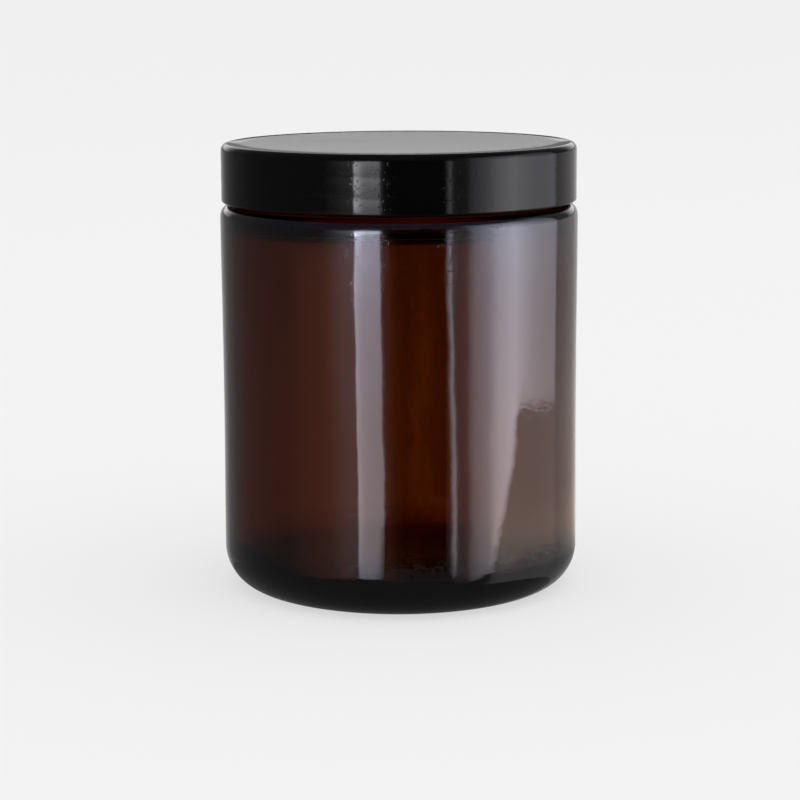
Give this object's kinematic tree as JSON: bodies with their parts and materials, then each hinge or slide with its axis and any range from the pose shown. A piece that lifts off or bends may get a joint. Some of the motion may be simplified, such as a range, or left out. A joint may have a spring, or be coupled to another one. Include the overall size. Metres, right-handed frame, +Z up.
{
  "type": "cosmetic cream jar",
  "caption": "Round straight-sided amber glass cosmetic jar with a smooth black screw cap and a lined seal.",
  "frame": {"origin": "centre of the rest ring under the base, on the jar's axis", "axes": "+Z up along the axis of the jar and its cap; the jar is round, so X and Y are alike"},
  "size_m": [0.0726, 0.0726, 0.0907],
  "materials": {
    "amber_glass": "clear dark amber glass, fire polished",
    "black_plastic": "black moulded plastic, glossy skirt and satin top",
    "liner_foam": "fine closed-cell white foam",
    "liner_film": "smooth white film"
  },
  "bodies": {
    "jar": {"glass_jar": "amber_glass"},
    "liner": {"liner_core": "liner_foam", "liner_facing": "liner_film"},
    "cap": {"screw_cap": "black_plastic"}
  },
  "joints": [
    {"name": "cap_lift", "type": "slide", "parent": "jar", "child": "liner", "axis": [0, 0, 1], "range_m": [0, 0.01482]},
    {"name": "cap_turn", "type": "hinge", "parent": "liner", "child": "cap", "pos_m": [0, 0, 0.08], "axis": [0, 0, 1], "range_deg": [0, 1260]}
  ],
  "couplings": [
    {"joint": "cap_lift", "follows": "cap_turn", "m_per_rad": 0.0006737}
  ]
}
